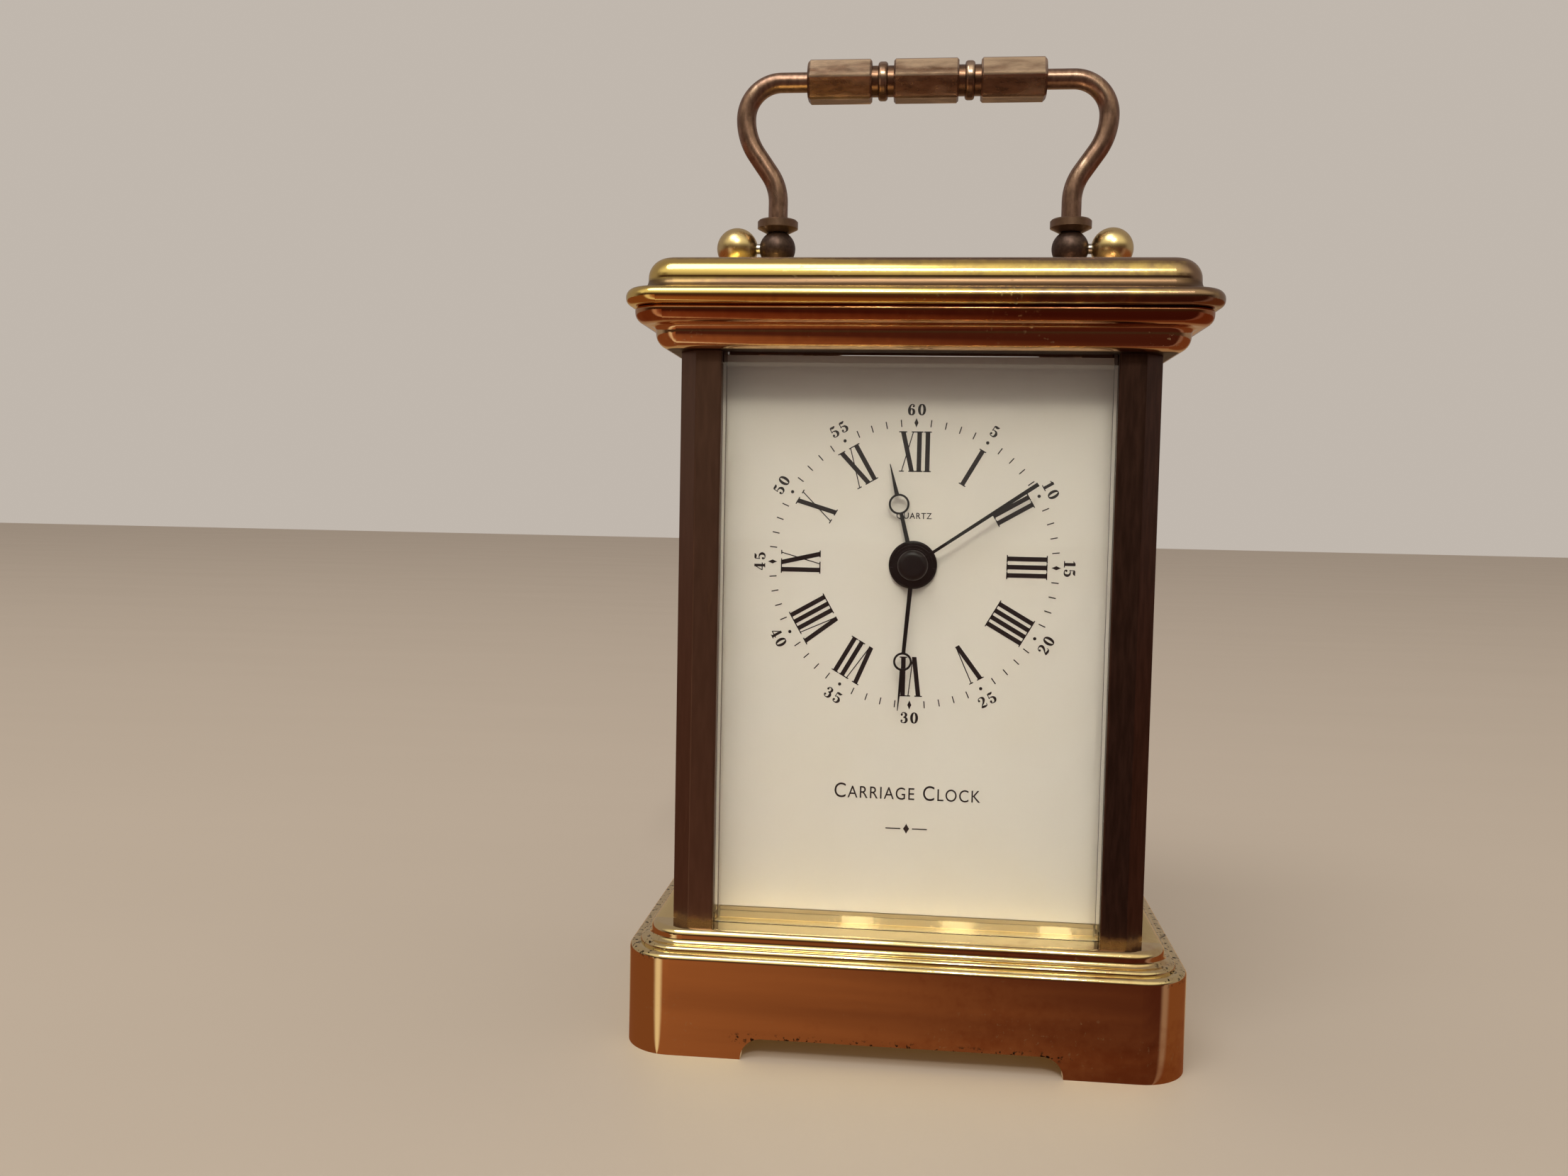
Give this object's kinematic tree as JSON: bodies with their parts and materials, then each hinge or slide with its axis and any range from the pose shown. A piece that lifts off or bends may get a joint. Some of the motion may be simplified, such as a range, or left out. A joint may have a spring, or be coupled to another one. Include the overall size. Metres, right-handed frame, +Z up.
{
  "type": "carriage clock",
  "caption": "Small brass carriage clock: moulded base and cap on corner posts, bevelled glass, folding bail handle, hinged rear door, Roman dial and battery quartz movement.",
  "frame": {"origin": "centre of the base on the surface that the clock stands on", "axes": "+Z up, +X to the right of a viewer who faces the dial, +Y from the dial to the rear door"},
  "size_m": [0.0824, 0.0688, 0.1494],
  "materials": {
    "polished_brass": "mirror polished and lacquered, with small dark tarnish spots",
    "aged_bronze": "dark brown patinated bronze, semi-gloss, worn at the edges",
    "dark_bronze": "very dark patinated bronze, semi-gloss",
    "handle_bronze": "brown bronze patina, worn bright on the facets",
    "door_brass": "satin brass",
    "screw_steel": "turned and plated steel",
    "contact_metal": "nickel plated spring strip",
    "clear_glass": "clear polished glass with bevelled edges",
    "dial_enamel": "matte warm white with black printing",
    "hand_black": "satin black paint",
    "rubber": "matte black rubber",
    "movement_black": "fine textured black moulding",
    "wheel_plastic": "natural white moulding",
    "bobbin_plastic": "blue moulding",
    "magnet": "sintered grey ferrite",
    "stator_steel": "stamped soft iron",
    "copper_wire": "enamelled copper wire",
    "board_laminate": "green lacquered laminate with copper tracks",
    "chip_resin": "black potting resin",
    "battery_wrap": "plain printed sleeve with bare steel ends"
  },
  "bodies": {
    "case": {"base_shell": "polished_brass", "cornice": "polished_brass", "top_cap": "polished_brass", "handle_post_left": "polished_brass", "handle_post_right": "polished_brass", "post_front_left": "aged_bronze", "post_front_right": "aged_bronze", "post_rear_left": "aged_bronze", "post_rear_right": "aged_bronze", "door_stop": "door_brass", "dial_bush": "door_brass", "post_screws_lower": "screw_steel", "post_screws_upper": "screw_steel", "cap_screws": "screw_steel", "handle_post_nuts": "screw_steel", "handle_pins": "screw_steel", "dial_screws": "screw_steel", "door_stop_screw": "screw_steel", "cover_screws": "screw_steel", "quartz_crystal": "screw_steel", "contact_positive": "contact_metal", "contact_negative": "contact_metal", "glass_front": "clear_glass", "glass_left": "clear_glass", "glass_right": "clear_glass", "dial_plate": "dial_enamel", "dial_nut": "hand_black", "dial_washer": "rubber", "movement_case": "movement_black", "movement_cover": "movement_black", "coil_bobbin": "bobbin_plastic", "stator": "stator_steel", "coil_winding": "copper_wire", "circuit_board": "board_laminate", "circuit_chip": "chip_resin"},
    "handle": {"handle_grip": "handle_bronze", "handle_bow_left": "handle_bronze", "handle_bow_right": "handle_bronze", "handle_eye_left": "dark_bronze", "handle_eye_right": "dark_bronze"},
    "rear_door": {"door_frame": "door_brass", "door_glass": "clear_glass", "door_pins": "screw_steel", "door_knob": "door_brass"},
    "seconds_train": {"seconds_wheel": "wheel_plastic", "seconds_hand": "hand_black"},
    "third_train": {"third_wheel": "wheel_plastic"},
    "centre_train": {"centre_wheel": "wheel_plastic"},
    "intermediate_train": {"intermediate_wheel": "wheel_plastic"},
    "rotor_train": {"rotor": "wheel_plastic", "rotor_magnet": "magnet"},
    "minute_train": {"cannon_pinion": "wheel_plastic", "minute_hand": "hand_black"},
    "motion_train": {"minute_wheel": "wheel_plastic"},
    "hour_train": {"hour_wheel": "wheel_plastic", "hour_hand": "hand_black"},
    "setting_train": {"setting_pinion": "wheel_plastic", "setting_knob": "movement_black"},
    "battery_cell": {"battery": "battery_wrap"}
  },
  "joints": [
    {"name": "handle_fold", "type": "hinge", "parent": "case", "child": "handle", "pos_m": [0, 0, 0.12], "axis": [1, 0, 0], "range_deg": [-95, 95]},
    {"name": "door_swing", "type": "hinge", "parent": "case", "child": "rear_door", "pos_m": [0.0259, 0.0256, 0.059], "axis": [0, 0, -1], "range_deg": [0, 100]},
    {"name": "seconds_turn", "type": "hinge", "parent": "case", "child": "seconds_train", "pos_m": [0, -0.01, 0.0704], "axis": [0, 1, 0], "continuous": true},
    {"name": "third_turn", "type": "hinge", "parent": "case", "child": "third_train", "pos_m": [-0.00544, -0.01, 0.07982], "axis": [0, 1, 0], "continuous": true},
    {"name": "centre_turn", "type": "hinge", "parent": "case", "child": "centre_train", "pos_m": [0, -0.01, 0.0704], "axis": [0, 1, 0], "continuous": true},
    {"name": "intermediate_turn", "type": "hinge", "parent": "case", "child": "intermediate_train", "pos_m": [0.01015, -0.01, 0.07409], "axis": [0, 1, 0], "continuous": true},
    {"name": "rotor_turn", "type": "hinge", "parent": "case", "child": "rotor_train", "pos_m": [0.00845, -0.01, 0.08374], "axis": [0, 1, 0], "continuous": true},
    {"name": "minute_turn", "type": "hinge", "parent": "case", "child": "minute_train", "pos_m": [0, -0.01, 0.0704], "axis": [0, 1, 0], "continuous": true},
    {"name": "motion_turn", "type": "hinge", "parent": "case", "child": "motion_train", "pos_m": [0.00725, -0.01, 0.06702], "axis": [0, 1, 0], "continuous": true},
    {"name": "hour_turn", "type": "hinge", "parent": "case", "child": "hour_train", "pos_m": [0, -0.01, 0.0704], "axis": [0, 1, 0], "continuous": true},
    {"name": "setting_turn", "type": "hinge", "parent": "case", "child": "setting_train", "pos_m": [0.01477, -0.01, 0.06428], "axis": [0, 1, 0], "continuous": true},
    {"name": "battery_slide", "type": "slide", "parent": "case", "child": "battery_cell", "axis": [0, 1, 0], "range_m": [0, 0.02]}
  ],
  "couplings": [
    {"joint": "third_turn", "follows": "seconds_turn", "ratio": -0.13333},
    {"joint": "centre_turn", "follows": "seconds_turn", "ratio": 0.016667},
    {"joint": "intermediate_turn", "follows": "seconds_turn", "ratio": -5},
    {"joint": "rotor_turn", "follows": "seconds_turn", "ratio": 30},
    {"joint": "motion_turn", "follows": "minute_turn", "ratio": -0.33333},
    {"joint": "hour_turn", "follows": "minute_turn", "ratio": 0.083333},
    {"joint": "setting_turn", "follows": "minute_turn", "ratio": 1}
  ]
}
